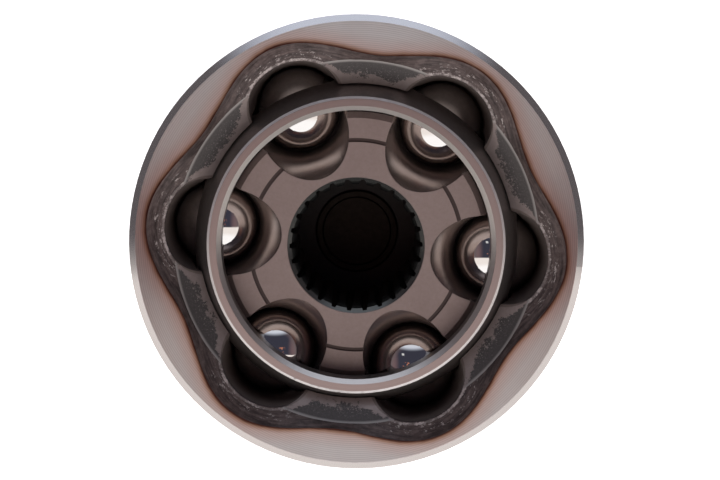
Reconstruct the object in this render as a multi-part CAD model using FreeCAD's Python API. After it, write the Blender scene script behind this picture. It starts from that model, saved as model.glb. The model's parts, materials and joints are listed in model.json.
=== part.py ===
"""Six-ball fixed constant-velocity joint: bell with stub axle, cage, inner race and balls.

Frame: the origin is the centre of articulation, +Z is the bell axis and points out of
the mouth, +X passes through ball 1.  The stub axle points down -Z.  All sizes are in mm.
"""
import FreeCAD, Part
import math
import os

V = FreeCAD.Vector
ORIGIN = V(0, 0, 0)
X_AXIS = V(1, 0, 0)
Y_AXIS = V(0, 1, 0)
Z_AXIS = V(0, 0, 1)

# ---- balls and their paths -------------------------------------------------
ball_diameter = 17.462          # 11/16 inch bearing ball
ball_count = 6
pitch_radius = 30.0             # ball centres from the joint centre
track_offset = 3.2              # centres of the track arcs, above and below the joint centre
track_clearance = 0.37          # ball to track, all round
rest_angle = 5.6                # lean of the inner race in the bell when the part is at rest

# ---- cage ------------------------------------------------------------------
cage_wall = 4.9
cage_running_gap = 0.35         # cage to inner race, and cage to bell
cage_mouth_end = 17.0
cage_floor_end = 16.0
cage_end_lip = 2.2              # how far the end bores stand inside the spherical inside
cage_end_chamfer = 0.95
cage_edge_break = 0.35
window_side_gap = 0.36          # along the axis, each side of the ball
window_swing = 1.75             # round the axis, each side of the ball
window_corner = 4.2

# ---- inner race --------------------------------------------------------------
race_inset = 0.3                # spherical outside, inside the pitch radius
race_mouth_face = 11.0
race_floor_face = 12.5
race_edge_chamfer = 0.9
race_track_start = -60.0        # sweep of the track arcs, from their mid plane
race_track_sweep = 120.0
track_break_width = 0.9         # chamfer where the race tracks run out of the sphere
track_break_depth = 1.2
face_groove_inset = 7.6
face_groove_width = 0.7
face_groove_depth = 0.4
bore_teeth = 26
bore_tip_radius = 12.6          # crests of the spline teeth
bore_tooth_height = 1.3
bore_tip_width = 1.35
bore_space_width = 0.8
bore_edge_rise = 0.5            # entry chamfer, beyond the bottoms of the spaces
bore_entry_depth = 0.8
bore_lead_rise = 0.85           # slimmer lead-in behind it, above the tooth crests
bore_lead_depth = 1.7

# ---- bell: inside --------------------------------------------------------------
mouth_height = 20.5
floor_depth = 30.0
land_edge_drop = 7.1            # from the mouth down to where the spherical lands begin
lead_in_drop = 2.15             # the lead-in cone ends here, in a narrow straight step
lead_in_rise = 2.0              # and is this much wider than the lands
rim_band_start = 0.12           # forged band that slopes in from a lobed outline on the rim
rim_band_at_track = 3.6
rim_band_at_land = 1.0
track_mouth_depth = 8.6         # half axes of the flared tracks at the mouth
track_mouth_width = 10.3
track_mouth_shift = 0.6
track_edge_chamfer = 0.55
track_edge_depth = 1.4
track_floor_angle = 55.0
plug_radius = 9.4
plug_stand = 1.6                # plug rim above the bell floor
plug_rim = 1.5
plug_dish = 0.7
plug_edge_break = 0.4
plug_seat_depth = 3.0

# ---- bell: outside ---------------------------------------------------------------
bell_wall = 11.2                # from the spherical lands to the outside
rim_chamfer = 1.45
boot_groove_drop = 7.9
boot_groove_width = 7.4
boot_groove_depth = 1.2
bell_back_start = 8.0           # below the joint centre, as all depths that follow
ring_stop_depth = 12.0
ring_stop_inset = 2.5           # insets are measured from the outside of the bell
ring_seat_inset = 4.5
ring_width = 8.0
bell_back_inset = 6.5
neck_radius = 29.0
neck_bulge = 2.6
floor_wall = 3.4
neck_length = 7.1
shoulder_chamfer = 1.5

# ---- stub axle -------------------------------------------------------------------
journal_radius = 15.0
journal_length = 14.5
journal_fillet = 2.0
spline_teeth = 28
spline_tip_inset = 0.5          # spline crests, inside the journal
spline_tooth_height = 1.15
spline_tip_width = 0.9
spline_space_width = 0.75
spline_length = 43.0
spline_end_chamfer = 1.2
relief_depth = 1.1              # thread relief, below the thread
relief_width = 3.0
thread_radius = 12.0            # M24 x 1.5
thread_length = 25.0
thread_chamfer = 1.4
stake_slot_width = 3.6
stake_slot_depth = 2.0
stake_slot_length = 19.0
centre_hole_radius = 2.2
centre_hole_depth = 9.0
centre_cone_radius = 4.6

# ---- rings pressed on the bell -----------------------------------------------------
tone_teeth = 48
tone_tip_inset = 0.3
tone_tooth_height = 2.2
tone_tooth_share = 0.5
shield_sheet = 1.4
shield_width = 13.4
shield_seat_length = 5.0
shield_gap = 0.5
shield_lip_length = 6.0

# ---- worked out from the above ----------------------------------------------------
overshoot = 1.0                 # how far cutting shapes run past the faces they open
ball_radius = ball_diameter / 2
ball_spacing = 360.0 / ball_count
track_radius = ball_radius + track_clearance
track_arc = math.hypot(pitch_radius, track_offset)
race_radius = pitch_radius - race_inset
cage_inner_radius = race_radius + cage_running_gap
cage_outer_radius = cage_inner_radius + cage_wall
cage_end_bore = cage_inner_radius - cage_end_lip
land_radius = cage_outer_radius + cage_running_gap
bell_radius = land_radius + bell_wall
ring_seat_radius = bell_radius - ring_seat_inset
lead_in_radius = land_radius + lead_in_rise
rim_crest = track_arc + track_mouth_shift + track_mouth_depth + rim_band_at_track
rim_trough = lead_in_radius + rim_band_at_land
bore_root_radius = bore_tip_radius + bore_tooth_height
bore_entry_radius = bore_root_radius + bore_edge_rise
neck_top_depth = floor_depth + floor_wall
shoulder_depth = neck_top_depth + neck_length
journal_end = shoulder_depth + journal_length
spline_end = journal_end + spline_length
spline_tip_radius = journal_radius - spline_tip_inset
spline_root_radius = spline_tip_radius - spline_tooth_height
thread_start = spline_end + relief_width
stub_end = thread_start + thread_length


def rim(radius, height):
    """A point of a profile that is turned about the bell axis."""
    return V(radius, 0, height)


def chain(*parts):
    """One closed wire from points; a tuple (middle, end) is an arc through both."""
    edges = []
    here = parts[0]
    for part in parts[1:]:
        if isinstance(part, tuple):
            edges.append(Part.Arc(here, part[0], part[1]).toShape())
            here = part[1]
        else:
            edges.append(Part.makeLine(here, part))
            here = part
    if not here.isEqual(parts[0], 1e-6):
        edges.append(Part.makeLine(here, parts[0]))
    return Part.Wire(edges)


def turned(*parts):
    """The solid made by turning a closed profile about the bell axis."""
    return Part.Face(chain(*parts)).revolve(ORIGIN, Z_AXIS, 360)


def on_sphere(radius, height):
    """The point of a sphere's profile at a height."""
    return rim(math.sqrt(radius ** 2 - height ** 2), height)


def around(shape, count):
    """Copies of a shape spread evenly round the bell axis."""
    copies = []
    for index in range(count):
        copy = shape.copy()
        copy.rotate(ORIGIN, Z_AXIS, index * 360.0 / count)
        copies.append(copy)
    return copies


def toothed_wire(count, crest_radius, crest_width, space_radius, space_width, height):
    """A closed outline of straight-flanked teeth with arcs along crests and spaces."""
    pitch = 2 * math.pi / count
    crest_half = crest_width / 2 / crest_radius
    space_half = space_width / 2 / space_radius

    def at(radius, angle):
        return V(radius * math.cos(angle), radius * math.sin(angle), height)

    edges = []
    for index in range(count):
        middle = index * pitch
        space = middle + pitch / 2
        crest_start = at(crest_radius, middle - crest_half)
        crest_end = at(crest_radius, middle + crest_half)
        space_start = at(space_radius, space - space_half)
        space_end = at(space_radius, space + space_half)
        next_crest = at(crest_radius, middle + pitch - crest_half)
        edges.append(Part.Arc(crest_start, at(crest_radius, middle), crest_end).toShape())
        edges.append(Part.makeLine(crest_end, space_start))
        edges.append(Part.Arc(space_start, at(space_radius, space), space_end).toShape())
        edges.append(Part.makeLine(space_end, next_crest))
    return Part.Wire(Part.__sortEdges__(edges))


def lobed_wire(radius_at, height):
    """A smooth closed curve round the bell axis with one lobe for each track."""
    steps = ball_count * 8
    points = []
    for index in range(steps):
        angle = 2 * math.pi * index / steps
        radius = radius_at(angle)
        points.append(V(radius * math.cos(angle), radius * math.sin(angle), height))
    curve = Part.BSplineCurve()
    curve.interpolate(points, PeriodicFlag=True)
    return Part.Wire(curve.toShape())


def flare_section(height, growth):
    """The outline of a flared track at a height, widened all round by a growth."""
    share = (height - track_offset) / (mouth_height - track_offset)
    depth = track_radius + share * (track_mouth_depth - track_radius) + growth
    width = track_radius + share * (track_mouth_width - track_radius) + growth
    centre = V(track_arc + share * track_mouth_shift, 0, height)
    if share <= 0:
        outline = Part.makeCircle(depth, centre, Z_AXIS)
        outline.rotate(centre, Z_AXIS, 90)
    else:
        outline = Part.Ellipse(centre + V(0, width, 0), centre + V(depth, 0, 0), centre).toShape()
    return Part.Wire(outline)


def track_arc_tool(centre_height, start_angle, sweep, arc=track_arc, radius=track_radius):
    """A round ball track that follows an arc about a point of the axis."""
    centre = V(0, 0, centre_height)
    section_centre = V(arc, 0, centre_height)
    ring = Part.makeCircle(radius, section_centre, Z_AXIS)
    ring.rotate(section_centre, Z_AXIS, 90)
    face = Part.Face(Part.Wire(ring))
    face.rotate(centre, Y_AXIS, start_angle)
    return face.revolve(centre, Y_AXIS, sweep)


def flared_track_tool():
    """The straight mouth end of a bell track, which opens out into an oval."""
    above = mouth_height + overshoot
    return Part.makeLoft([flare_section(track_offset, 0), flare_section(above, 0)], True, True)


def track_edge_tool():
    """The small chamfer round a track's mouth."""
    above = mouth_height + overshoot
    below = mouth_height - 2 * track_edge_depth
    slope = track_edge_chamfer / track_edge_depth
    outlines = [
        flare_section(below, -slope * track_edge_depth),
        flare_section(above, slope * (track_edge_depth + overshoot)),
    ]
    return Part.makeLoft(outlines, True, True)


def bell_outside():
    """The turned outside of the bell, down to the shoulder of the stub axle."""
    groove_top = mouth_height - boot_groove_drop
    groove_bottom = groove_top - boot_groove_width
    groove_radius = bell_radius - boot_groove_depth
    back_top = ring_stop_depth + ring_width
    bell_back_radius = bell_radius - bell_back_inset
    middle = V((bell_back_radius + neck_radius) / 2 + neck_bulge, 0,
               -(back_top + neck_top_depth) / 2 - neck_bulge)
    return turned(
        rim(0, mouth_height),
        rim(bell_radius - rim_chamfer, mouth_height),
        rim(bell_radius, mouth_height - rim_chamfer),
        rim(bell_radius, groove_top),
        rim(groove_radius, groove_top - boot_groove_depth),
        rim(groove_radius, groove_bottom + boot_groove_depth),
        rim(bell_radius, groove_bottom),
        rim(bell_radius, -bell_back_start),
        rim(bell_radius - ring_stop_inset, -ring_stop_depth),
        rim(ring_seat_radius, -ring_stop_depth),
        rim(ring_seat_radius, -back_top),
        rim(bell_back_radius, -back_top),
        (middle, rim(neck_radius, -neck_top_depth)),
        rim(neck_radius, shoulder_chamfer - shoulder_depth),
        rim(neck_radius - shoulder_chamfer, -shoulder_depth),
        rim(0, -shoulder_depth),
    )


def bell_cavity():
    """Everything that is taken out of the bell: sphere, lead-in, lobed rim and tracks."""
    above = mouth_height + overshoot
    land_edge = on_sphere(land_radius, mouth_height - land_edge_drop)
    lead_in_top = mouth_height - lead_in_drop
    sphere = turned(
        rim(0, -floor_depth),
        on_sphere(land_radius, -floor_depth),
        (rim(land_radius, 0), land_edge),
        rim(lead_in_radius, lead_in_top),
        rim(lead_in_radius, above),
        rim(0, above),
    )
    band_foot = lead_in_radius - rim_band_start

    def foot(angle):
        return band_foot

    def outline(angle):
        lobe = (rim_crest + rim_trough + (rim_crest - rim_trough) * math.cos(ball_count * angle)) / 2
        return lobe + (lobe - band_foot) * overshoot / lead_in_drop

    band = Part.makeLoft([
        lobed_wire(foot, lead_in_top),
        lobed_wire(outline, above),
    ], True, True)
    arc = track_arc_tool(track_offset, 0, track_floor_angle)
    seat = Part.makeCylinder(plug_radius, plug_seat_depth + overshoot,
                             V(0, 0, -floor_depth - plug_seat_depth))
    tracks = around(arc, ball_count) + around(flared_track_tool(), ball_count)
    return [sphere, seat, band] + tracks + around(track_edge_tool(), ball_count)


def stub_axle():
    """The stub axle: journal, splined shank, relief, threaded end and centre hole."""
    fillet_middle = journal_fillet * (1 - math.sqrt(0.5))
    core_radius = thread_radius - relief_depth
    run_out = journal_radius - core_radius
    core = turned(
        rim(0, overshoot - shoulder_depth),
        rim(journal_radius + journal_fillet, overshoot - shoulder_depth),
        rim(journal_radius + journal_fillet, -shoulder_depth),
        (rim(journal_radius + fillet_middle, -shoulder_depth - fillet_middle),
         rim(journal_radius, -shoulder_depth - journal_fillet)),
        rim(journal_radius, -journal_end),
        rim(core_radius, -journal_end - run_out),
        rim(core_radius, thread_chamfer - thread_start),
        rim(thread_radius, -thread_start),
        rim(thread_radius, thread_chamfer - stub_end),
        rim(thread_radius - thread_chamfer, -stub_end),
        rim(0, -stub_end),
    )
    teeth = Part.Face(toothed_wire(spline_teeth, spline_tip_radius, spline_tip_width,
                                   spline_root_radius, spline_space_width, -spline_end))
    teeth = teeth.extrude(V(0, 0, spline_length + overshoot))
    outside = spline_tip_radius + overshoot
    envelope = turned(
        rim(0, -spline_end),
        rim(spline_tip_radius - spline_end_chamfer, -spline_end),
        rim(outside, spline_end_chamfer + overshoot - spline_end),
        rim(outside, overshoot - journal_end),
        rim(0, overshoot - journal_end),
    )
    slot = Part.makeBox(stake_slot_width, stake_slot_depth + overshoot, stake_slot_length,
                        V(-stake_slot_width / 2, thread_radius - stake_slot_depth, -stub_end))
    cone_depth = centre_cone_radius * math.sqrt(3) / 2
    hole = turned(
        rim(0, -stub_end),
        rim(centre_cone_radius, -stub_end),
        rim(centre_hole_radius, cone_depth - stub_end),
        rim(centre_hole_radius, centre_hole_depth - stub_end),
        rim(0, centre_hole_depth + centre_hole_radius / 2 - stub_end),
    )
    return core.fuse(teeth.common(envelope)).cut([slot, hole])


def outer_race():
    """Bell and stub axle, one forging."""
    bell = bell_outside().cut(bell_cavity())
    return bell.fuse(stub_axle()).removeSplitter()


def floor_plug():
    """The dished steel plug pressed into the floor of the bell."""
    top = plug_stand - plug_dish - floor_depth
    bottom = -floor_depth - plug_seat_depth
    return turned(
        rim(0, bottom),
        rim(plug_radius, bottom),
        rim(plug_radius, top - plug_edge_break),
        rim(plug_radius - plug_edge_break, top),
        rim(plug_radius - plug_rim, top),
        rim(plug_radius - plug_rim - plug_dish / 2, top - plug_dish),
        rim(0, top - plug_dish),
    )


def tone_ring():
    """The toothed wheel-speed ring pressed on the back of the bell."""
    tip = bell_radius - tone_tip_inset
    root = tip - tone_tooth_height
    pitch = 2 * math.pi / tone_teeth
    tip_width = tone_tooth_share * pitch * tip
    root_gap = (1 - tone_tooth_share) * pitch * root
    wire = toothed_wire(tone_teeth, tip, tip_width, root, root_gap, -ring_stop_depth - ring_width)
    blank = Part.Face(wire).extrude(V(0, 0, ring_width))
    seat = Part.makeCylinder(ring_seat_radius, ring_width + 2 * overshoot,
                             V(0, 0, -ring_stop_depth - ring_width - overshoot))
    return blank.cut(seat)


def dust_shield():
    """The sheet-steel deflector pressed on the neck behind the bell."""
    top = -neck_top_depth - shield_gap
    inner_tube = neck_radius + shield_sheet
    shield_radius = neck_radius + shield_width
    inner_lip = shield_radius - shield_sheet
    bend = shield_sheet * (1 - math.sqrt(0.5))
    return turned(
        rim(neck_radius, top),
        rim(inner_lip, top),
        (rim(shield_radius - bend, top - bend), rim(shield_radius, top - shield_sheet)),
        rim(shield_radius, top - shield_lip_length),
        rim(inner_lip, top - shield_lip_length),
        rim(inner_lip, top - shield_sheet),
        rim(inner_tube, top - shield_sheet),
        rim(inner_tube, top - shield_seat_length),
        rim(neck_radius, top - shield_seat_length),
    )


def window_tool():
    """A rounded window through the cage wall, along +X."""
    half_height = ball_radius + window_side_gap
    half_width = ball_radius + window_swing
    box = Part.makeBox(cage_outer_radius, 2 * half_width, 2 * half_height,
                       V(pitch_radius / 2, -half_width, -half_height))
    edges = [edge for edge in box.Edges if abs(edge.tangentAt(0).x) > 0.9]
    return box.makeFillet(window_corner, edges)


def cage():
    """The ball cage: a spherical ring with one window for each ball."""
    end_corner = math.sqrt(cage_outer_radius ** 2 - cage_mouth_end ** 2)
    mouth_bore_end = cage_mouth_end - cage_end_chamfer
    floor_bore_end = cage_floor_end - cage_end_chamfer
    sphere_edge = math.sqrt(cage_inner_radius ** 2 - cage_end_bore ** 2)
    wide_bore = cage_end_bore + cage_end_chamfer
    ring = turned(
        rim(cage_end_bore, sphere_edge),
        rim(cage_end_bore, mouth_bore_end),
        rim(wide_bore, cage_mouth_end),
        rim(end_corner - cage_edge_break, cage_mouth_end),
        on_sphere(cage_outer_radius, cage_mouth_end - cage_edge_break),
        (rim(cage_outer_radius, 0), on_sphere(cage_outer_radius, -cage_floor_end)),
        rim(wide_bore, -cage_floor_end),
        rim(cage_end_bore, -floor_bore_end),
        rim(cage_end_bore, -sphere_edge),
        (rim(cage_inner_radius, 0), rim(cage_end_bore, sphere_edge)),
    )
    ring = ring.cut(around(window_tool(), ball_count))
    ring.rotate(ORIGIN, X_AXIS, rest_angle / 2)
    return ring


def inner_race():
    """The inner race: a spherical star with ball tracks and a splined bore."""
    blank = turned(
        rim(0, -race_floor_face),
        rim(math.sqrt(race_radius ** 2 - race_floor_face ** 2) - race_edge_chamfer, -race_floor_face),
        on_sphere(race_radius, race_edge_chamfer - race_floor_face),
        (rim(race_radius, 0), on_sphere(race_radius, race_mouth_face - race_edge_chamfer)),
        rim(math.sqrt(race_radius ** 2 - race_mouth_face ** 2) - race_edge_chamfer, race_mouth_face),
        rim(0, race_mouth_face),
    )
    track = track_arc_tool(-track_offset, race_track_start, race_track_sweep)
    foot = race_radius - track_break_depth
    half_width = math.sqrt(track_radius ** 2 - (track_arc - foot) ** 2)
    reach = half_width * track_break_width / track_break_depth
    edge_break = track_arc_tool(-track_offset, race_track_start, race_track_sweep,
                                foot + reach, math.hypot(reach, half_width))
    bore = Part.Face(toothed_wire(bore_teeth, bore_tip_radius, bore_tip_width, bore_root_radius,
                                  bore_space_width, -race_floor_face))
    bore = bore.extrude(V(0, 0, race_floor_face + race_mouth_face))
    entry = turned(
        rim(0, race_mouth_face),
        rim(bore_entry_radius, race_mouth_face),
        rim(bore_tip_radius + bore_lead_rise, race_mouth_face - bore_entry_depth),
        rim(bore_tip_radius, race_mouth_face - bore_entry_depth - bore_lead_depth),
        rim(0, race_mouth_face - bore_entry_depth - bore_lead_depth),
    )
    exit_depth = bore_entry_radius - bore_tip_radius
    exit_cone = turned(
        rim(0, -race_floor_face),
        rim(bore_entry_radius, -race_floor_face),
        rim(bore_tip_radius, exit_depth - race_floor_face),
        rim(0, exit_depth - race_floor_face),
    )
    inner_edge = race_radius - face_groove_inset - face_groove_width / 2
    outer_edge = inner_edge + face_groove_width
    groove = turned(
        rim(inner_edge, race_mouth_face),
        rim(inner_edge, race_mouth_face - face_groove_depth),
        rim(outer_edge, race_mouth_face - face_groove_depth),
        rim(outer_edge, race_mouth_face),
    )
    tracks = around(track, ball_count) + around(edge_break, ball_count)
    race = blank.cut(tracks + [bore, entry, exit_cone, groove])
    race.rotate(ORIGIN, X_AXIS, rest_angle)
    return race


def ball(azimuth):
    """A ball on the arc of its bell track, in the plane that halves the lean of the race."""
    turn = math.radians(azimuth)
    slope = math.sin(turn) * math.tan(math.radians(rest_angle / 2))
    along = track_offset * slope
    reach = (along + math.sqrt(along ** 2 + (1 + slope ** 2) * pitch_radius ** 2)) / (1 + slope ** 2)
    return Part.makeSphere(ball_radius, V(reach * math.cos(turn), reach * math.sin(turn), reach * slope))


def save(name, shape):
    """Writes one sub-part, after checking that it is one sound solid."""
    solid = shape.Solids[0]
    if len(shape.Solids) != 1 or not solid.isValid():
        raise ValueError(name + " is not one valid solid")
    solid.exportStep("parts/" + name + ".step")
    print("%-12s %9.1f mm3" % (name, solid.Volume))


os.makedirs("parts", exist_ok=True)
save("outer_race", outer_race())
save("floor_plug", floor_plug())
save("tone_ring", tone_ring())
save("dust_shield", dust_shield())
save("cage", cage())
save("inner_race", inner_race())
for index in range(ball_count):
    save("ball_%d" % (index + 1), ball(index * ball_spacing))
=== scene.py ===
"""Looks of a six-ball fixed constant-velocity joint, seen into the mouth of its bell."""
import bmesh
import bpy
import json
import math
from mathutils import Matrix, Vector


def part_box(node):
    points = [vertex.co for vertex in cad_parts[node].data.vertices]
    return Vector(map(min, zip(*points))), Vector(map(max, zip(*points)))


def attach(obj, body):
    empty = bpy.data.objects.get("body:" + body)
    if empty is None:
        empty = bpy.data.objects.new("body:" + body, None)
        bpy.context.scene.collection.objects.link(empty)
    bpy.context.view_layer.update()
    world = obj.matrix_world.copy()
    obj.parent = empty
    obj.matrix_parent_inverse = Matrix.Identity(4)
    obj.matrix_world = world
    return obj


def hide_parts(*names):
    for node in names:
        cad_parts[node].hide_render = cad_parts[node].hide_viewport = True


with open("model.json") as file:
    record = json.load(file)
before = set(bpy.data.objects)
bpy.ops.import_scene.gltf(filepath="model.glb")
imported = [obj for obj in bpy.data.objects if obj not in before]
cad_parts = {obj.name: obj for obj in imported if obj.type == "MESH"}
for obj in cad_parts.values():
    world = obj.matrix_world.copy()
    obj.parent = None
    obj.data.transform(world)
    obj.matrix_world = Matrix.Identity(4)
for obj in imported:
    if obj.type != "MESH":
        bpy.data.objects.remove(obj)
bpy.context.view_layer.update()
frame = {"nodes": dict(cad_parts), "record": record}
nodes = frame["nodes"]
MM = 0.001

# ---- sizes, in millimetres of the row frame ----------------------------------------
mounts = {mount["name"]: mount for mount in frame["record"]["mounts"]}
lean = math.atan2(-mounts["shaft_spline"]["axis"][1], mounts["shaft_spline"]["axis"][2])
bell_low, bell_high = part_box("outer_race")
mouth_z = bell_high.z / MM
stub_z = bell_low.z / MM
bell_r = bell_high.x / MM
BALLS = 6
track_centre_z = 3.2            # centre of the bell's track arcs
lobe_crest = 42.97              # lobed outline of the forged band, at a track
lobe_trough = 38.3              # and at a land
lead_in_r = 37.3                # top of the lead-in cones
lead_in_z = 18.35
land_edge_r = 32.66             # foot of the lead-in cones
land_edge_z = 13.4
mouth_oval = (30.77, 8.6, 10.3)  # a track's mouth: centre, half its depth and half its width
mouth_mean = 9.4                # turns shares of the oval to millimetres
track_reach = 41.0              # the inside ends here, from the centre of the track arcs
floor_z = -33.0                 # foot of the bell's inside
forged_z = -20.0                # the outside is turned in front of this and forged behind
spline_z = (-98.2, -55.5)       # the stub's spline
spline_r = 14.6
feed_pitch = 0.41               # turning marks on the rim
cage_face_r = 28.8              # end face of the cage, from the chamfer outwards
cage_face_z = 17.0
cage_corner_r = 30.15           # its outer corner, painted bright as a highlight
race_face_z = 11.0
race_edge_r = 26.6              # foot of the race's edge chamfer
race_bore_r = 14.3
race_entry_r = 15.15            # chamfer at the bore's mouth
groove_r = 22.1
rim_chamfer = 1.45
rim_edge_r = bell_r - 2.75      # the chamfer lies outside this
thread_top = -99.8              # the thread blank is cut off here, in its relief
thread_r = 12.0                 # M24 x 1.5
thread_pitch = 1.5
thread_depth = 0.92
core_r = 10.9                   # thread relief
slot_length = 19.0              # stake slot, from the stub's end
slot_floor = 10.0
slot_turn = 8.65                # half the slot's width, in degrees
thread_chamfer = 1.4
thread_run_out = 0.786          # rise of the radius, a millimetre of length, out of the relief
thread_flank = 2.36             # steepness of the flanks, in depths a pitch
thread_columns = 96             # faces round the thread
thread_rows = 10                # and along one pitch
centre_hole = ((4.6, 0.0), (2.2, 3.98), (2.2, 9.0), (0.02, 10.1))  # radii at depths from the end
sharp_angle = math.radians(20)  # edges that turn more stay sharp

# ---- colours ------------------------------------------------------------------------
bare_steel = (0.56, 0.50, 0.485)
heat_tint = (                   # distances from the forged band where it starts and is full, tint
    (4.5, 0.6, (0.94, 0.78, 0.74)),
    (1.5, 0.3, (0.66, 0.48, 0.36)),
    (0.62, 0.04, (0.17, 0.11, 0.12)),
)


# ---- material graphs ----------------------------------------------------------------
class Graph:
    """A node graph. Values are sockets or plain numbers."""

    def __init__(self, tree):
        self.tree = tree
        self.tree.nodes.clear()

    def node(self, kind, **settings):
        """A new node with these settings."""
        made = self.tree.nodes.new(kind)
        for key, value in settings.items():
            setattr(made, key, value)
        return made

    def plug(self, socket, value):
        """Links a socket to the input, or sets the input's own value."""
        if isinstance(value, bpy.types.NodeSocket):
            self.tree.links.new(value, socket)
        elif isinstance(value, (tuple, list)) and len(value) == 3 and socket.type == "RGBA":
            socket.default_value = (*value, 1)
        else:
            socket.default_value = value

    def math(self, operation, *values):
        made = self.node("ShaderNodeMath", operation=operation)
        for socket, value in zip(made.inputs, values):
            self.plug(socket, value)
        return made.outputs[0]

    def add(self, a, b):
        return self.math("ADD", a, b)

    def sub(self, a, b):
        return self.math("SUBTRACT", a, b)

    def mul(self, a, b):
        return self.math("MULTIPLY", a, b)

    def most(self, a, b):
        """The larger of the two."""
        return self.math("MAXIMUM", a, b)

    def vector(self, operation, a, b=None, scale=None):
        made = self.node("ShaderNodeVectorMath", operation=operation)
        self.plug(made.inputs[0], a)
        if b is not None:
            self.plug(made.inputs[1], b)
        if scale is not None:
            made.inputs["Scale"].default_value = scale
        return made.outputs["Value" if operation in ("LENGTH", "DOT_PRODUCT") else "Vector"]

    def step(self, value, low, high):
        """0 below low and 1 above high, smooth between; low may be the larger."""
        if low > high:
            return self.sub(1.0, self.step(value, high, low))
        made = self.node("ShaderNodeMapRange", interpolation_type="SMOOTHSTEP")
        for name, item in (("Value", value), ("From Min", low), ("From Max", high)):
            self.plug(made.inputs[name], item)
        return made.outputs["Result"]

    def band(self, value, low, high, soft):
        """1 between low and high, falling off over soft outside them."""
        return self.mul(self.step(value, low - soft, low), self.step(value, high + soft, high))

    def mix(self, share, a, b):
        """A colour from a to b, as far as share says."""
        made = self.node("ShaderNodeMix", data_type="RGBA")
        self.plug(made.inputs["Factor"], share)
        self.plug(made.inputs[6], a)
        self.plug(made.inputs[7], b)
        return made.outputs[2]

    def tint(self, share, colour, factor):
        """The colour multiplied by a factor, as far as share says."""
        made = self.node("ShaderNodeMix", data_type="RGBA", blend_type="MULTIPLY")
        self.plug(made.inputs["Factor"], share)
        self.plug(made.inputs[6], colour)
        self.plug(made.inputs[7], factor)
        return made.outputs[2]

    def blend(self, share, a, b):
        """A number from a to b, as far as share says."""
        made = self.node("ShaderNodeMix", data_type="FLOAT")
        self.plug(made.inputs["Factor"], share)
        self.plug(made.inputs[2], a)
        self.plug(made.inputs[3], b)
        return made.outputs[0]

    def noise_at(self, place, scale, detail=2.0, rough=0.5):
        """Noise from 0 to 1, read at that place."""
        made = self.node("ShaderNodeTexNoise")
        self.plug(made.inputs["Vector"], place)
        made.inputs["Scale"].default_value = scale
        made.inputs["Detail"].default_value = detail
        made.inputs["Roughness"].default_value = rough
        return made.outputs["Fac"]

    def joined(self, x, y, z=0.0):
        """A vector from three values."""
        made = self.node("ShaderNodeCombineXYZ")
        for socket, value in zip(made.inputs, (x, y, z)):
            self.plug(socket, value)
        return made.outputs[0]


class Metal(Graph):
    """A metal's graph, with places in mm of the row frame, turned about +X for a tilted piece."""

    def __init__(self, name, turn=0.0):
        self.material = bpy.data.materials.new(name)
        self.material.use_nodes = True
        super().__init__(self.material.node_tree)
        self.output = self.node("ShaderNodeOutputMaterial")
        place = self.node("ShaderNodeTexCoord").outputs["Object"]
        self.place = self.vector("SCALE", place, scale=1 / MM)
        if turn:
            spin = self.node("ShaderNodeVectorRotate", rotation_type="X_AXIS")
            self.plug(spin.inputs["Vector"], self.place)
            spin.inputs["Angle"].default_value = turn
            self.place = spin.outputs["Vector"]
        split = self.node("ShaderNodeSeparateXYZ")
        self.plug(split.inputs[0], self.place)
        self.x, self.y, self.z = split.outputs
        squares = self.add(self.mul(self.x, self.x), self.mul(self.y, self.y))
        self.r = self.math("SQRT", squares)
        self.angle = self.math("ARCTAN2", self.y, self.x)

    def noise(self, scale, detail=4.0, rough=0.55, stretch=None):
        """Noise from 0 to 1; scale is in features per millimetre."""
        place = self.place
        if stretch is not None:
            place = self.vector("MULTIPLY", place, stretch)
        return self.noise_at(place, scale, detail, rough)

    def rings(self, scale):
        """Noise that is the same all round the axis: turning marks."""
        return self.noise_at(self.joined(self.r, self.z), scale, 3.0)

    def drawn(self, across, scale, slow):
        """Noise drawn out along an outline; across is the distance from it."""
        place = self.joined(across, self.mul(self.x, slow), self.mul(self.y, slow))
        return self.noise_at(place, scale, 7.0, 0.68)

    def bump(self, height, distance, strength=1.0, under=None):
        """A normal from a height; distance is in millimetres."""
        made = self.node("ShaderNodeBump")
        self.plug(made.inputs["Height"], height)
        made.inputs["Distance"].default_value = distance * MM
        self.plug(made.inputs["Strength"], strength)
        if under is not None:
            self.plug(made.inputs["Normal"], under)
        return made.outputs["Normal"]

    def finish(self, colour, rough, metal=1.0, normal=None, **more):
        """The material, with one Principled shader."""
        shader = self.node("ShaderNodeBsdfPrincipled")
        self.plug(shader.inputs["Base Color"], colour)
        self.plug(shader.inputs["Roughness"], rough)
        self.plug(shader.inputs["Metallic"], metal)
        if normal is not None:
            self.plug(shader.inputs["Normal"], normal)
        for name, value in more.items():
            self.plug(shader.inputs[name.replace("_", " ")], value)
        self.plug(self.output.inputs["Surface"], shader.outputs[0])
        return self.material

    def lifted(self, normal, share, rise):
        """The normal turned towards +Z, as on an edge that is worn round."""
        facing = self.node("ShaderNodeVectorTransform", vector_type="NORMAL", convert_from="OBJECT",
                           convert_to="WORLD")
        facing.inputs[0].default_value = (0, 0, 1)
        push = self.node("ShaderNodeVectorMath", operation="SCALE")
        self.plug(push.inputs[0], facing.outputs[0])
        self.plug(push.inputs["Scale"], self.mul(share, rise))
        return self.vector("NORMALIZE", self.vector("ADD", normal, push.outputs[0]))

    def around_axis(self):
        """The direction of turning marks."""
        return self.node("ShaderNodeTangent", direction_type="RADIAL", axis="Z").outputs[0]


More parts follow.
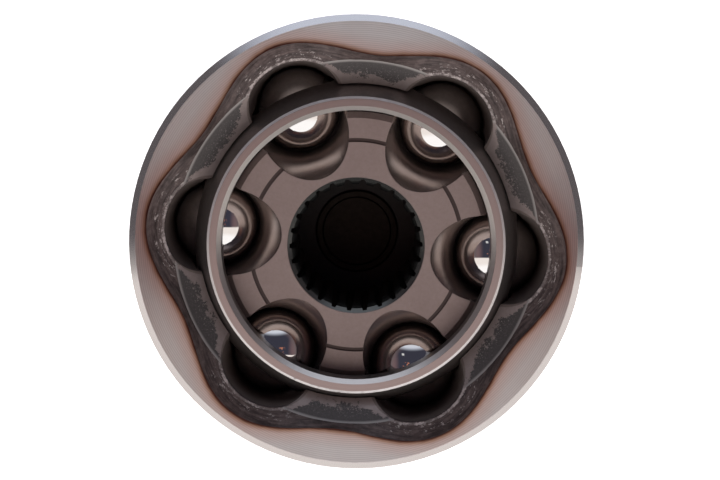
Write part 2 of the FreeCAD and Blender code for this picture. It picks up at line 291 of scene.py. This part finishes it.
class Bell(Metal):
    """The bell's graph: what its surfaces share, and the colour of each."""

    def __init__(self):
        super().__init__("bell_steel")
        self.fine = self.noise(2.2, 6.0, 0.7)
        self.spots = self.noise(0.8, 5.0, 0.65)
        self.broken = self.step(self.noise(0.5, 6.0, 0.7), 0.44, 0.58)
        self.past = self.past_lobes()
        self.beyond = self.beyond_mouth()
        self.share = self.mul(self.sub(self.r, land_edge_r), 1 / (lead_in_r - land_edge_r))
        self.near_rim = self.step(self.z, mouth_z - 4.2, mouth_z - 2.8)
        chamfer_z = mouth_z - rim_chamfer
        self.rim_edge = self.mul(self.step(self.z, chamfer_z - 0.1, chamfer_z),
                                 self.step(self.r, rim_edge_r - 0.25, rim_edge_r + 0.25))
        self.feed = self.math("SINE", self.mul(self.r, math.tau / feed_pitch))
        self.streaks = self.drawn(self.past, 1.6, 0.10)
        self.worn = self.worn_patches()

    def past_lobes(self):
        """Distance outwards from the lobed outline of the forged band."""
        middle = (lobe_crest + lobe_trough) / 2
        swing = (lobe_crest - lobe_trough) / 2
        lobe = self.add(middle, self.mul(swing, self.math("COSINE", self.mul(self.angle, BALLS))))
        return self.sub(self.r, lobe)

    def beyond_mouth(self):
        """Distance outwards from the oval mouth of the nearest track."""
        centre_r, half_depth, half_width = mouth_oval
        local = self.math("PINGPONG", self.add(self.angle, math.pi), math.pi / BALLS)
        across = self.mul(self.r, self.math("SINE", local))
        along = self.sub(self.mul(self.r, self.math("COSINE", local)), centre_r)
        squares = self.add(self.math("POWER", self.mul(along, 1 / half_depth), 2.0),
                           self.math("POWER", self.mul(across, 1 / half_width), 2.0))
        return self.mul(self.sub(self.math("SQRT", squares), 1.0), mouth_mean)

    def worn_patches(self):
        """Where the lead-in cones are worn: along the foot and at the corners."""
        patch = self.add(self.mul(self.noise(0.42, 10.0, 0.80), 0.9), self.mul(self.fine, 0.16))
        corner = self.mul(self.step(self.beyond, 2.4, 0.2), 0.28)
        return self.step(self.sub(self.add(patch, corner), self.mul(self.share, 0.42)), 0.40, 0.425)

    def edge_wear(self):
        """Where the edges of the track mouths are worn bare."""
        ragged = self.add(self.beyond, self.mul(self.sub(self.fine, 0.5), 1.1))
        edge = self.mul(self.near_rim, self.band(ragged, 0.12, 0.45, 0.15))
        return self.mul(edge, self.add(0.25, self.mul(self.broken, 0.75)))

    def scuffs(self):
        """Scratches on the forged band, beside the track mouths."""
        scratches = self.step(self.drawn(self.beyond, 2.4, 0.30), 0.545, 0.60)
        return self.mul(self.band(self.beyond, 0.4, 2.2, 0.5), self.mul(self.broken, scratches))

    def rim(self):
        """Turned steel, with the heat tint along the forged band."""
        turned = self.mix(self.noise(0.09, 3.0), (0.86, 0.81, 0.80), (0.98, 0.95, 0.94))
        turned = self.tint(self.rings(1.3), turned, (0.88, 0.87, 0.87))
        turned = self.tint(self.add(0.5, self.mul(self.feed, 0.5)), turned, (0.84, 0.83, 0.83))
        wander = self.mul(self.sub(self.noise(0.16, 2.0), 0.5), 0.6)
        distance = self.add(self.past, wander)
        for first, full, factor in heat_tint:
            turned = self.tint(self.step(distance, first, full), turned, factor)
        return turned

    def forged_band(self):
        """Dark scale, with streaks along the outline."""
        streaks = self.step(self.streaks, 0.32, 0.66)
        scale = self.mix(streaks, (0.050, 0.037, 0.037), (0.165, 0.125, 0.120))
        return self.tint(self.step(self.spots, 0.40, 0.62), scale, (0.74, 0.72, 0.72))

    def lead_in(self):
        """A dark coat with flecks and worn patches, and a painted highlight along its top."""
        coat = self.mix(self.fine, (0.060, 0.054, 0.055), (0.150, 0.138, 0.137))
        flecks = self.step(self.noise(2.8, 6.0, 0.75), 0.56, 0.66)
        coat = self.mix(self.mul(flecks, self.step(self.share, 1.0, 0.3)), coat, bare_steel)
        # painted highlight: the top of each cone is coloured lighter, where it catches the light
        coat = self.mix(self.step(self.share, 0.88, 0.98), coat, (0.42, 0.40, 0.39))
        metal = self.mix(self.spots, (0.27, 0.222, 0.215), (0.44, 0.37, 0.355))
        return self.mix(self.worn, coat, metal)

    def inside(self):
        """Lands and tracks, darker near the rim and on the bell's floor."""
        inner = self.mix(self.spots, (0.16, 0.128, 0.118), (0.27, 0.22, 0.205))
        inner = self.tint(self.near_rim, inner, (0.55, 0.55, 0.56))
        bell_floor = self.mul(self.step(self.z, -24.0, -27.0), self.step(self.r, 24.0, 20.0))
        return self.tint(bell_floor, inner, (0.12, 0.12, 0.13))

    def outside(self):
        """Turned steel in front, scale behind, the stub's spline and the rim's bright chamfer."""
        turned = self.mix(self.rings(2.0), (0.36, 0.345, 0.335), (0.50, 0.48, 0.465))
        scale = self.mix(self.spots, (0.10, 0.092, 0.088), (0.20, 0.185, 0.175))
        behind = self.step(self.z, forged_z + 0.2, forged_z - 0.2)
        colour = self.mix(self.mul(behind, self.step(self.r, 27.5, 29.5)), turned, scale)
        spline = self.mul(self.band(self.z, *spline_z, 0.3),
                          self.step(self.r, spline_r + 0.1, spline_r - 0.1))
        colour = self.mix(spline, colour, (0.19, 0.185, 0.18))
        return self.mix(self.rim_edge, colour, (0.66, 0.645, 0.65))

    def is_inside(self):
        """The spherical lands, the tracks and the floor, below the rim."""
        reach = self.vector("LENGTH", self.vector("SUBTRACT", self.place, (0, 0, track_centre_z)))
        deep = self.mul(self.step(reach, track_reach + 0.2, track_reach - 0.2),
                        self.step(self.z, track_centre_z + 0.5, track_centre_z))
        shallow = self.mul(self.step(self.r, track_reach, track_reach - 0.2),
                           self.step(self.z, track_centre_z, track_centre_z + 0.5))
        return self.mul(self.add(deep, shallow), self.band(self.z, floor_z, mouth_z - 0.06, 0.04))

    def is_lead_in(self):
        """The lead-in cones, between the track mouths."""
        above = self.sub(self.z, self.add(land_edge_z, self.mul(self.share, lead_in_z - land_edge_z)))
        cone = self.mul(self.band(above, -0.12, 0.12, 0.05), self.band(self.share, 0.0, 1.0, 0.02))
        return self.mul(cone, self.step(self.beyond, -0.05, 0.1))


def bell_material():
    """Forging with a turned rim, heat tint, scaled band, worn lead-ins and dark tracks."""
    g = Bell()
    is_face = g.mul(g.step(g.z, mouth_z - 0.06, mouth_z - 0.02), g.step(g.past, -0.10, 0.02))
    is_high = g.step(g.z, lead_in_z - 0.05, lead_in_z)
    is_band = g.mul(g.mul(is_high, g.step(g.past, 0.02, -0.02)), g.step(g.r, lead_in_r - 0.1, lead_in_r))
    is_inside = g.is_inside()
    is_cone = g.is_lead_in()
    by_mouth = g.most(is_band, is_inside)

    colour = g.mix(is_inside, g.outside(), g.inside())
    colour = g.mix(is_band, colour, g.forged_band())
    colour = g.mix(g.mul(by_mouth, g.edge_wear()), colour, bare_steel)
    colour = g.mix(g.mul(is_band, g.scuffs()), colour, bare_steel)
    colour = g.mix(is_cone, colour, g.lead_in())
    colour = g.mix(is_face, colour, g.rim())

    rough = g.blend(is_inside, 0.34, 0.42)
    rough = g.blend(is_band, rough, g.blend(g.spots, 0.42, 0.58))
    rough = g.blend(is_cone, rough, g.blend(g.worn, 0.52, 0.36))
    rough = g.blend(g.rim_edge, rough, 0.16)
    rough = g.blend(is_face, rough, 0.41)
    metal = g.blend(is_inside, g.blend(g.most(is_band, is_cone), 1.0, 0.6), 0.35)
    normal = g.bump(g.mul(g.feed, is_face), 0.006)
    normal = g.bump(g.mul(g.worn, is_cone), 0.03, 0.6, normal)
    normal = g.bump(g.mul(g.streaks, by_mouth), 0.05, 0.5, normal)
    return g.finish(colour, rough, metal, normal, Anisotropic=g.mul(is_face, 0.9),
                    Anisotropic_Rotation=0.25, Tangent=g.around_axis())


def race_material():
    """Matte hardened star with its face groove painted darker as shade, ground tracks, and its bore
    painted dark as shade.
    """
    g = Metal("race_steel", -lean)
    spots = g.noise(1.6, 5.0, 0.6)
    clouds = g.noise(0.12, 3.0)
    is_edge = g.mul(g.step(g.r, race_edge_r - 0.1, race_edge_r + 0.1),
                    g.step(g.z, race_face_z - 1.0, race_face_z - 0.9))
    is_groove = g.band(g.r, groove_r - 0.4, groove_r + 0.4, 0.05)
    is_groove = g.mul(is_groove, g.step(g.z, race_face_z - 0.6, race_face_z - 0.5))
    is_face = g.most(g.step(g.z, race_face_z - 0.12, race_face_z - 0.04), g.most(is_edge, is_groove))
    matte = g.mix(spots, (0.32, 0.25, 0.235), (0.42, 0.335, 0.32))
    matte = g.tint(clouds, matte, (0.82, 0.80, 0.80))
    # painted shade: the face groove is darkened as the shade inside it
    matte = g.tint(is_groove, matte, (0.26, 0.24, 0.24))
    ground = g.mix(g.noise(0.5, 4.0), (0.33, 0.265, 0.245), (0.44, 0.36, 0.335))
    # painted shade: the splined bore is coloured near black as the shade deep inside it, and less dark
    # over its entry chamfer at the mouth
    bore = g.step(g.r, race_bore_r + 0.05, race_bore_r - 0.05)
    ground = g.mix(bore, ground, (0.060, 0.058, 0.060))
    entry = g.mul(g.step(g.r, race_entry_r + 0.05, race_entry_r - 0.05),
                  g.step(g.z, race_face_z - 1.75, race_face_z - 1.65))
    ground = g.mix(entry, ground, (0.13, 0.135, 0.132))
    colour = g.mix(is_face, ground, matte)
    rough = g.blend(is_face, 0.26, 0.48)
    normal = g.bump(g.mul(spots, is_face), 0.012, 0.5)
    return g.finish(colour, rough, g.blend(is_face, 0.85, 0.7), normal)


def cage_material():
    """Dark hardened ball cage with turned end faces, its chamfer and outer corner painted bright as
    highlights.
    """
    g = Metal("cage_steel", -lean / 2)
    spots = g.noise(1.4, 5.0, 0.6)
    dark = g.mix(spots, (0.17, 0.15, 0.145), (0.29, 0.26, 0.25))
    at_end = g.step(g.z, cage_face_z - 0.04, cage_face_z - 0.015)
    turned = g.mix(g.rings(3.0), (0.42, 0.335, 0.325), (0.54, 0.44, 0.43))
    bright = g.step(g.z, cage_face_z - 1.05, cage_face_z - 0.95)
    chamfer = g.mul(bright, g.step(g.r, cage_face_r + 0.02, cage_face_r - 0.02))
    corner = g.mul(g.step(g.z, cage_face_z - 0.40, cage_face_z - 0.34),
                   g.step(g.r, cage_corner_r - 0.05, cage_corner_r + 0.05))
    # painted highlight: the inner chamfer is coloured near white, brighter than the turned end face
    # beside it
    colour = g.mix(chamfer, dark, g.mix(spots, (0.72, 0.69, 0.67), (0.82, 0.79, 0.77)))
    # painted highlight: the outer corner is coloured as a bright line of light along the edge
    colour = g.mix(corner, colour, (0.86, 0.83, 0.82))
    colour = g.mix(at_end, colour, turned)
    rough = g.blend(g.most(chamfer, at_end), 0.36, 0.34)
    normal = g.bump(spots, 0.012, 0.5)
    nicks = g.step(g.noise(1.2, 5.0, 0.7), 0.25, 0.62)
    normal = g.lifted(normal, g.mul(corner, nicks), 1.2)
    return g.finish(colour, rough, g.blend(g.most(chamfer, at_end), 0.65, 1.0), normal)


def ball_material():
    """Polished bearing steel."""
    g = Metal("ball_steel")
    colour = g.mix(g.noise(0.3), (0.80, 0.785, 0.77), (0.84, 0.83, 0.82))
    return g.finish(colour, 0.035, 1.0)


def plain_metal(name, dark, light, rough):
    """A mottled metal between two colours."""
    g = Metal(name)
    spots = g.noise(0.7, 5.0, 0.6)
    return g.finish(g.mix(spots, dark, light), rough, 1.0, g.bump(spots, 0.02, 0.4))


def dress(piece, material):
    """Gives a piece its material and smooth shading."""
    mesh = piece.data
    mesh.materials.clear()
    mesh.materials.append(material)
    for polygon in mesh.polygons:
        polygon.use_smooth = True
    mesh.set_sharp_from_angle(angle=sharp_angle)


def bell_without_thread():
    """A copy of the bell, cut off where the thread of its stub begins."""
    source = nodes["outer_race"]
    shape = bmesh.new()
    shape.from_mesh(source.data)
    everything = shape.verts[:] + shape.edges[:] + shape.faces[:]
    cut = bmesh.ops.bisect_plane(shape, geom=everything, plane_co=(0, 0, thread_top * MM),
                                 plane_no=(0, 0, 1), clear_inner=True)["geom_cut"]
    cut_points = [item for item in cut if isinstance(item, bmesh.types.BMVert)]
    bmesh.ops.remove_doubles(shape, verts=cut_points, dist=1e-6)
    open_edges = [edge for edge in shape.edges
                  if all(abs(point.co.z / MM - thread_top) < 1e-3 for point in edge.verts)]
    bmesh.ops.holes_fill(shape, edges=open_edges)
    mesh = bpy.data.meshes.new("bell")
    shape.to_mesh(mesh)
    shape.free()
    bell = bpy.data.objects.new("bell", mesh)
    bpy.context.scene.collection.objects.link(bell)
    bell.matrix_world = source.matrix_world
    return bell


def stub_thread():
    """The thread of the stub, M24 x 1.5, with its stake slot and centre hole."""
    slot_sides = [math.pi / 2 + side * math.radians(slot_turn + shift)
                  for side in (-1, 1) for shift in (-0.1, 0.1)]
    angles = sorted([math.tau * index / thread_columns for index in range(thread_columns)] + slot_sides)
    rows = round((thread_top - stub_z) / thread_pitch * thread_rows)
    rings = [[(core_r - 0.05, thread_top + 0.1)] * len(angles)]  # starts just inside the bell
    for row in range(rows + 1):
        z = thread_top + (stub_z - thread_top) * row / rows
        run_out = core_r + (thread_top + 0.2 - z) * thread_run_out
        limit = min(thread_r, run_out, thread_r - thread_chamfer + z - stub_z)
        ring = []
        for angle in angles:
            phase = (z / thread_pitch - angle / math.tau) % 1.0
            groove = min(1.0, max(0.0, thread_flank * (0.5 - abs(phase - 0.5))))
            radius = min(limit, thread_r - thread_depth * groove)
            if z < stub_z + slot_length and abs(angle - math.pi / 2) < math.radians(slot_turn):
                radius = min(radius, slot_floor / math.sin(angle))
            ring.append((radius, z))
        rings.append(ring)
    for radius, z in centre_hole:
        rings.append([(radius, stub_z + z)] * len(angles))
    count = len(angles)
    points = [(r * math.cos(a) * MM, r * math.sin(a) * MM, z * MM)
              for ring in rings for a, (r, z) in zip(angles, ring)]
    faces = [tuple(reversed(range(count))), tuple(range(len(points) - count, len(points)))]
    for row in range(len(rings) - 1):
        for index in range(count):
            after = (index + 1) % count
            faces.append((row * count + index, (row + 1) * count + index,
                          (row + 1) * count + after, row * count + after))
    mesh = bpy.data.meshes.new("stub_thread")
    mesh.from_pydata(points, [], faces)
    shape = bmesh.new()
    shape.from_mesh(mesh)
    bmesh.ops.recalc_face_normals(shape, faces=shape.faces[:])
    shape.to_mesh(mesh)
    shape.free()
    thread = bpy.data.objects.new("stub_thread", mesh)
    bpy.context.scene.collection.objects.link(thread)
    return thread


bell_steel = bell_material()
for made in (bell_without_thread(), stub_thread()):
    dress(made, bell_steel)
    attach(made, "outer_race")
    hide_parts("outer_race")
dress(nodes["inner_race"], race_material())
dress(nodes["cage"], cage_material())
balls = ball_material()
for index in range(BALLS):
    dress(nodes["ball_%d" % (index + 1)], balls)
dress(nodes["floor_plug"], plain_metal("plug_steel", (0.020, 0.016, 0.014), (0.05, 0.04, 0.035), 0.5))
dress(nodes["tone_ring"], plain_metal("sintered_iron", (0.12, 0.12, 0.125), (0.2, 0.2, 0.21), 0.5))
dress(nodes["dust_shield"], plain_metal("plated_sheet", (0.45, 0.42, 0.33), (0.6, 0.57, 0.47), 0.3))

# ---- camera -----------------------------------------------------------------------
lens = 100.0
camera_distance = 0.4277        # from the joint centre
camera_roll = math.radians(6.2)
camera_tilt = math.radians(3.1)
aim_right = 0.00072             # the view's centre, beside the joint centre
aim_up = -0.000485
right = Vector((math.cos(camera_roll), math.sin(camera_roll), 0))
level_up = Vector((-math.sin(camera_roll), math.cos(camera_roll), 0))
back = Vector((0, 0, 1)) * math.cos(camera_tilt) + level_up * math.sin(camera_tilt)
up = level_up * math.cos(camera_tilt) - Vector((0, 0, 1)) * math.sin(camera_tilt)
camera = bpy.data.objects.new("camera", bpy.data.cameras.new("camera"))
bpy.context.scene.collection.objects.link(camera)
camera.data.lens = lens
camera.data.sensor_width = 36.0
camera.data.clip_start = 0.01
spot = right * aim_right + up * aim_up + back * camera_distance
camera.matrix_world = Matrix.Translation(spot) @ Matrix((right, up, back)).transposed().to_4x4()
bpy.context.scene.camera = camera
bpy.context.scene.view_settings.view_transform = "Standard"

# ---- stage ------------------------------------------------------------------------
floor_half = 0.5
floor_gap = 0.0005              # below the stub's end


def floor_material():
    """White for the camera, with the object's shadow."""
    material = bpy.data.materials.new("floor_white")
    material.use_nodes = True
    g = Graph(material.node_tree)
    diffuse = g.node("ShaderNodeBsdfDiffuse")
    diffuse.inputs["Color"].default_value = (0.9, 0.9, 0.9, 1)
    glow = g.node("ShaderNodeEmission")
    g.plug(glow.inputs["Strength"], g.node("ShaderNodeLightPath").outputs["Is Camera Ray"])
    both = g.node("ShaderNodeAddShader")
    g.plug(both.inputs[0], diffuse.outputs[0])
    g.plug(both.inputs[1], glow.outputs[0])
    g.plug(g.node("ShaderNodeOutputMaterial").inputs["Surface"], both.outputs[0])
    return material


level = stub_z * MM - floor_gap
corners = [(-floor_half, -floor_half), (floor_half, -floor_half), (floor_half, floor_half),
           (-floor_half, floor_half)]
floor_mesh = bpy.data.meshes.new("floor")
floor_mesh.from_pydata([(x, y, level) for x, y in corners], [], [(0, 1, 2, 3)])
floor = bpy.data.objects.new("floor", floor_mesh)
bpy.context.scene.collection.objects.link(floor)
floor.data.materials.append(floor_material())


def room_colour(g):
    """Colour by direction. High, side and front are the shares of the camera's up, right and +Z."""
    look = g.node("ShaderNodeTexCoord").outputs["Generated"]
    high = g.vector("DOT_PRODUCT", look, tuple(level_up))
    side = g.vector("DOT_PRODUCT", look, tuple(right))
    front = g.vector("DOT_PRODUCT", look, (0, 0, 1))
    away = g.math("ABSOLUTE", side)

    # dim walls, and a dark room in front with a lamp and warm specks
    walls = g.mix(g.step(front, 0.25, 0.75), (0.135, 0.12, 0.125), (0.22, 0.13, 0.135))
    near = g.mul(g.step(away, 0.88, 0.6), g.step(front, 0.30, 0.62))
    room = g.mix(near, walls, (0.045, 0.045, 0.065))
    lamp = g.mul(g.band(high, 0.50, 0.56, 0.02), g.band(side, -0.50, -0.42, 0.02))
    room = g.mix(g.mul(lamp, near), room, (0.7, 0.7, 0.7))
    warm = g.mul(g.band(high, -0.10, 0.16, 0.05), g.step(g.noise_at(look, 6.5), 0.53, 0.57))
    warm = g.mul(warm, g.step(away, 0.55, 0.45))
    room = g.mix(g.mul(warm, near), room, (0.55, 0.22, 0.14))

    # a cool soft box high up, and a white table below
    soft_box = g.mul(g.step(high, 0.66, 0.86), g.step(front, 0.1, 0.4))
    soft_box = g.most(soft_box, g.step(high, 0.74, 0.97))
    room = g.mix(soft_box, room, (0.78, 0.83, 0.95))
    table = g.step(high, -0.16, -0.21)
    table = g.most(table, g.mul(g.step(high, 0.0, -0.34), g.step(front, 0.45, 0.20)))
    room = g.mix(table, room, (1.02, 0.94, 0.89))

    # overhead and low on the camera's side, as the rim mirrors them, and a pale wall behind
    overhead = g.mul(g.step(high, 0.76, 0.90), g.step(front, 0.18, 0.34))
    room = g.mix(overhead, room, (0.70, 0.72, 0.78))
    low_table = g.mul(g.step(high, -0.40, -0.62), g.step(front, 0.18, 0.34))
    room = g.mix(low_table, room, (1.20, 1.17, 1.16))
    return g.mix(g.step(front, -0.15, -0.5), room, (0.9, 0.9, 0.9))


def world_light():
    """The studio, which lights the object; the camera itself sees white."""
    world = bpy.data.worlds.new("studio")
    bpy.context.scene.world = world
    world.use_nodes = True
    g = Graph(world.node_tree)
    background = g.node("ShaderNodeBackground")
    g.plug(background.inputs["Color"], room_colour(g))
    white = g.node("ShaderNodeBackground")
    white.inputs["Color"].default_value = (1, 1, 1, 1)
    both = g.node("ShaderNodeMixShader")
    g.plug(both.inputs[0], g.node("ShaderNodeLightPath").outputs["Is Camera Ray"])
    g.plug(both.inputs[1], background.outputs[0])
    g.plug(both.inputs[2], white.outputs[0])
    g.plug(g.node("ShaderNodeOutputWorld").inputs["Surface"], both.outputs[0])


world_light()
